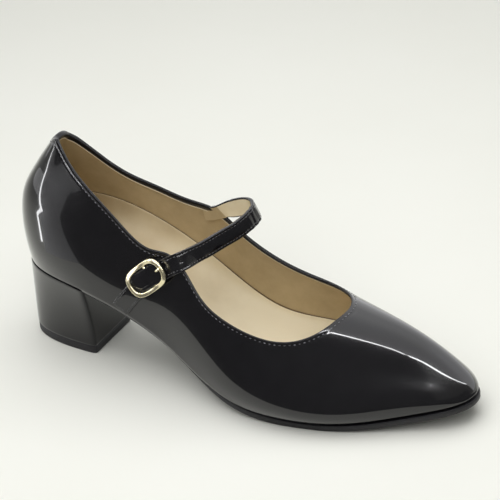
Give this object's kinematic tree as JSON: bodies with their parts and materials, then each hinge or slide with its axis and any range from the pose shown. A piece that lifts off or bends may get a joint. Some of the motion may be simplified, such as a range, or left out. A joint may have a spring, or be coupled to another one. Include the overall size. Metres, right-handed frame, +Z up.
{
  "type": "pump",
  "caption": "Closed almond-toe pump for the right foot, with a covered block heel and a narrow instep strap that buckles on the lateral side.",
  "frame": {"origin": "on the floor, under the middle of the shoe's box", "axes": "+X from heel to toe, +Y to the medial side, +Z up"},
  "size_m": [0.2516, 0.0808, 0.1241],
  "materials": {
    "patent_leather": "black patent leather, glossy",
    "heel_cover": "black leather cover, glossy",
    "sock_leather": "beige sock leather, matte",
    "sole_rubber": "black rubber sole, matte",
    "lift_rubber": "black rubber top piece, matte",
    "gold_plate": "pale gold plate, polished"
  },
  "bodies": {
    "root": {"upper": "patent_leather", "strap": "patent_leather", "buckle_tab": "patent_leather", "buckle_frame": "gold_plate", "buckle_prong": "gold_plate", "insole": "sock_leather", "outsole": "sole_rubber", "heel": "heel_cover", "toplift": "lift_rubber"}
  },
  "joints": []
}
